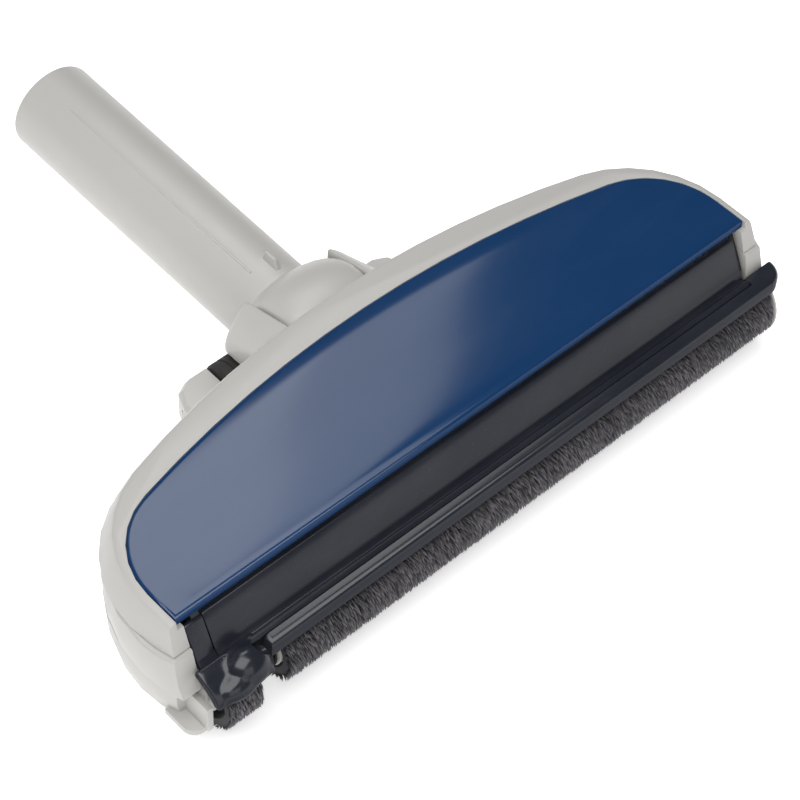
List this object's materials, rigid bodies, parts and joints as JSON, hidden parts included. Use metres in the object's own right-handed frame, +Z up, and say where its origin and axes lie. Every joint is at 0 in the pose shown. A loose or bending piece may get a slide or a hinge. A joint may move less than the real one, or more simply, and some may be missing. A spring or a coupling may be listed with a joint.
{
  "type": "vacuum floor head",
  "caption": "Wide suction floor head with a glossy top plate, a smoke front window over a plush roller, and a tilting, swivelling neck tube.",
  "frame": {"origin": "middle of the footprint on the floor", "axes": "+X along the head to the right, +Y to the rear towards the tube, +Z up"},
  "size_m": [0.2864, 0.2608, 0.0608],
  "materials": {
    "grey_plastic": "fine satin moulding",
    "blue_gloss": "high gloss",
    "smoke_plastic": "polished smoke",
    "black_plastic": "satin",
    "plush_pile": "dense short pile",
    "black_rubber": "matt",
    "steel": "plain",
    "white_acetal": "satin"
  },
  "bodies": {
    "head": {"upper_casing": "grey_plastic", "bumper_left": "grey_plastic", "bumper_right": "grey_plastic", "lower_casing": "grey_plastic", "neck_yoke": "grey_plastic", "roller_end_cap": "grey_plastic", "top_plate": "blue_gloss", "front_window": "smoke_plastic", "front_lip": "smoke_plastic", "belt_guard": "smoke_plastic", "chamber_wall": "black_plastic", "left_end_plate": "black_plastic", "right_end_plate": "black_plastic", "suction_duct": "black_plastic", "sole_plate": "black_plastic", "turbine_housing": "black_plastic", "rear_lip_seal": "black_rubber", "drive_belt": "black_rubber", "neck_seal": "black_rubber", "sole_screw_1": "steel", "sole_screw_2": "steel", "sole_screw_3": "steel", "sole_screw_4": "steel", "sole_screw_5": "steel", "sole_screw_6": "steel", "neck_pin_left": "steel", "neck_pin_right": "steel", "rear_axle_left": "steel", "rear_axle_right": "steel", "sole_axle_left": "steel", "sole_axle_right": "steel", "roller_bush_left": "white_acetal", "turbine_bush_left": "white_acetal", "turbine_bush_right": "white_acetal"},
    "roller": {"roller_plush": "plush_pile", "roller_core": "white_acetal", "end_disc_plush": "plush_pile", "end_disc_core": "white_acetal", "roller_shaft": "steel", "roller_pulley": "black_plastic"},
    "turbine": {"turbine_wheel": "black_plastic", "turbine_shaft": "steel", "turbine_pulley": "white_acetal"},
    "neck": {"neck_ball": "grey_plastic"},
    "tube": {"neck_tube": "grey_plastic"},
    "rear_wheel_left": {"rear_wheel_left": "black_rubber"},
    "rear_wheel_right": {"rear_wheel_right": "black_rubber"},
    "sole_wheel_left": {"sole_wheel_left": "white_acetal"},
    "sole_wheel_right": {"sole_wheel_right": "white_acetal"}
  },
  "joints": [
    {"name": "roller_spin", "type": "hinge", "parent": "head", "child": "roller", "pos_m": [-0.0018, -0.11045, 0.0178], "axis": [1, 0, 0], "continuous": true},
    {"name": "turbine_spin", "type": "hinge", "parent": "head", "child": "turbine", "pos_m": [-0.0018, -0.06995, 0.031], "axis": [1, 0, 0], "continuous": true},
    {"name": "neck_tilt", "type": "hinge", "parent": "head", "child": "neck", "pos_m": [-0.0018, -0.02895, 0.027], "axis": [1, 0, 0], "range_deg": [0, 70]},
    {"name": "tube_swivel", "type": "hinge", "parent": "neck", "child": "tube", "pos_m": [-0.0018, -0.02895, 0.0188], "axis": [0, 0.9997, 0.0227], "range_deg": [-90, 90]},
    {"name": "rear_wheel_left_spin", "type": "hinge", "parent": "head", "child": "rear_wheel_left", "pos_m": [-0.0303, -0.01575, 0.0105], "axis": [1, 0, 0], "continuous": true},
    {"name": "rear_wheel_right_spin", "type": "hinge", "parent": "head", "child": "rear_wheel_right", "pos_m": [0.0267, -0.01575, 0.0105], "axis": [1, 0, 0], "continuous": true},
    {"name": "sole_wheel_left_spin", "type": "hinge", "parent": "head", "child": "sole_wheel_left", "pos_m": [-0.0978, -0.07895, 0.0055], "axis": [1, 0, 0], "continuous": true},
    {"name": "sole_wheel_right_spin", "type": "hinge", "parent": "head", "child": "sole_wheel_right", "pos_m": [0.0942, -0.07895, 0.0055], "axis": [1, 0, 0], "continuous": true}
  ],
  "couplings": [
    {"joint": "turbine_spin", "follows": "roller_spin", "ratio": 2}
  ]
}
